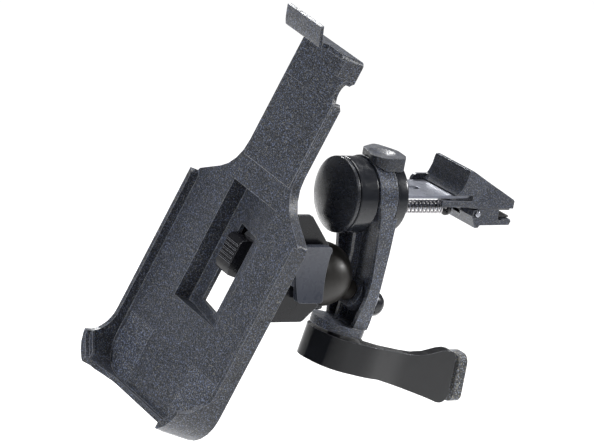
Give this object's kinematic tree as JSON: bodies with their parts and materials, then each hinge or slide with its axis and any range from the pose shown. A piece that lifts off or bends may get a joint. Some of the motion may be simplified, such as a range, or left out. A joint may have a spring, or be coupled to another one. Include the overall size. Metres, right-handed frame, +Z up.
{
  "type": "car air vent phone mount",
  "caption": "Phone cradle with hooked corners on a ball-jointed arm, with a sprung clip for a car's air-vent blade and a prop foot that rests below the vent.",
  "frame": {"origin": "middle of the upper grip pad's lower face, where the top of a vent blade is held", "axes": "+Y into the vent along the clip, +Z up, +X to the right-hand side seen by the driver"},
  "size_m": [0.0672, 0.1281, 0.133],
  "materials": {
    "grained_plastic": "fine grain",
    "satin_plastic": "satin",
    "dark_plastic": "satin",
    "ball_plastic": "polished",
    "rubber": "textured",
    "plated_steel": "plated",
    "spring_steel": "drawn"
  },
  "bodies": {
    "vent_clip": {"clip_housing": "satin_plastic", "pivot_axle": "plated_steel", "tongue_plate": "plated_steel", "upper_jaw": "satin_plastic", "upper_grip_pad": "rubber", "jaw_pin": "plated_steel", "clip_spring": "spring_steel"},
    "lower_jaw_group": {"lower_jaw": "satin_plastic", "lower_grip_pad": "rubber"},
    "trigger": {"trigger_lever": "grained_plastic", "draw_rod": "plated_steel", "rod_collar": "dark_plastic"},
    "arm": {"arm_housing": "grained_plastic", "hub_ring": "satin_plastic", "hub_cap": "grained_plastic", "thrust_washer": "plated_steel", "ball_stud": "ball_plastic", "stud_washer": "plated_steel", "stud_nut": "satin_plastic", "foot_screw": "plated_steel"},
    "foot": {"foot_lever": "satin_plastic", "foot_pad": "rubber"},
    "liner_group": {"ball_liner": "dark_plastic"},
    "bracket": {"ball_bracket": "dark_plastic", "swivel_retainer": "plated_steel", "button_spring_near": "spring_steel", "button_spring_far": "spring_steel"},
    "squeeze_button_near_group": {"squeeze_button_near": "satin_plastic"},
    "squeeze_button_far_group": {"squeeze_button_far": "satin_plastic"},
    "adapter": {"adapter_plate": "dark_plastic"},
    "latch": {"release_latch": "dark_plastic"},
    "cradle": {"cradle_shell": "grained_plastic"}
  },
  "joints": [
    {"name": "trigger_pull", "type": "slide", "parent": "vent_clip", "child": "trigger", "axis": [0, -1, 0], "range_m": [0, 0.002], "stiffness_N_per_m": 3000, "deforming": ["clip_spring"]},
    {"name": "jaw_open", "type": "hinge", "parent": "vent_clip", "child": "lower_jaw_group", "pos_m": [0, -0.01105, -0.0011], "axis": [1, 0, 0], "range_deg": [-12, 0], "stiffness_Nm_per_rad": 0.005},
    {"name": "arm_swivel", "type": "hinge", "parent": "vent_clip", "child": "arm", "pos_m": [0, -0.06035, 0.0022], "axis": [0, 1, 0], "range_deg": [-60, 60]},
    {"name": "foot_swing", "type": "hinge", "parent": "arm", "child": "foot", "pos_m": [0, -0.0505, -0.0431], "axis": [0, 0.1874, 0.9823], "range_deg": [-30, 30]},
    {"name": "cradle_pan", "type": "hinge", "parent": "arm", "child": "liner_group", "pos_m": [0, -0.06085, -0.024], "axis": [0, 0, 1], "range_deg": [-25, 25]},
    {"name": "cradle_tilt", "type": "hinge", "parent": "liner_group", "child": "bracket", "pos_m": [0, -0.06085, -0.024], "axis": [1, 0, 0], "range_deg": [-12, 25]},
    {"name": "button_press_near", "type": "slide", "parent": "bracket", "child": "squeeze_button_near_group", "axis": [-1, 0, 0], "range_m": [0, 0.001], "stiffness_N_per_m": 1500, "deforming": ["button_spring_near"]},
    {"name": "button_press_far", "type": "slide", "parent": "bracket", "child": "squeeze_button_far_group", "axis": [1, 0, 0], "range_m": [0, 0.001], "stiffness_N_per_m": 1500, "deforming": ["button_spring_far"]},
    {"name": "cradle_turn", "type": "hinge", "parent": "bracket", "child": "adapter", "pos_m": [0.0007, -0.0865, -0.01666], "axis": [0, -0.9553, 0.2957], "range_deg": [-90, 90]},
    {"name": "latch_slide", "type": "slide", "parent": "adapter", "child": "latch", "axis": [-0.0872, -0.2946, -0.9516], "range_m": [0, 0.004], "stiffness_N_per_m": 300},
    {"name": "cradle_slide", "type": "slide", "parent": "adapter", "child": "cradle", "axis": [0.0872, 0.2946, 0.9516], "range_m": [0, 0.007]}
  ],
  "couplings": [
    {"joint": "jaw_open", "follows": "trigger_pull", "rad_per_m": -78}
  ]
}
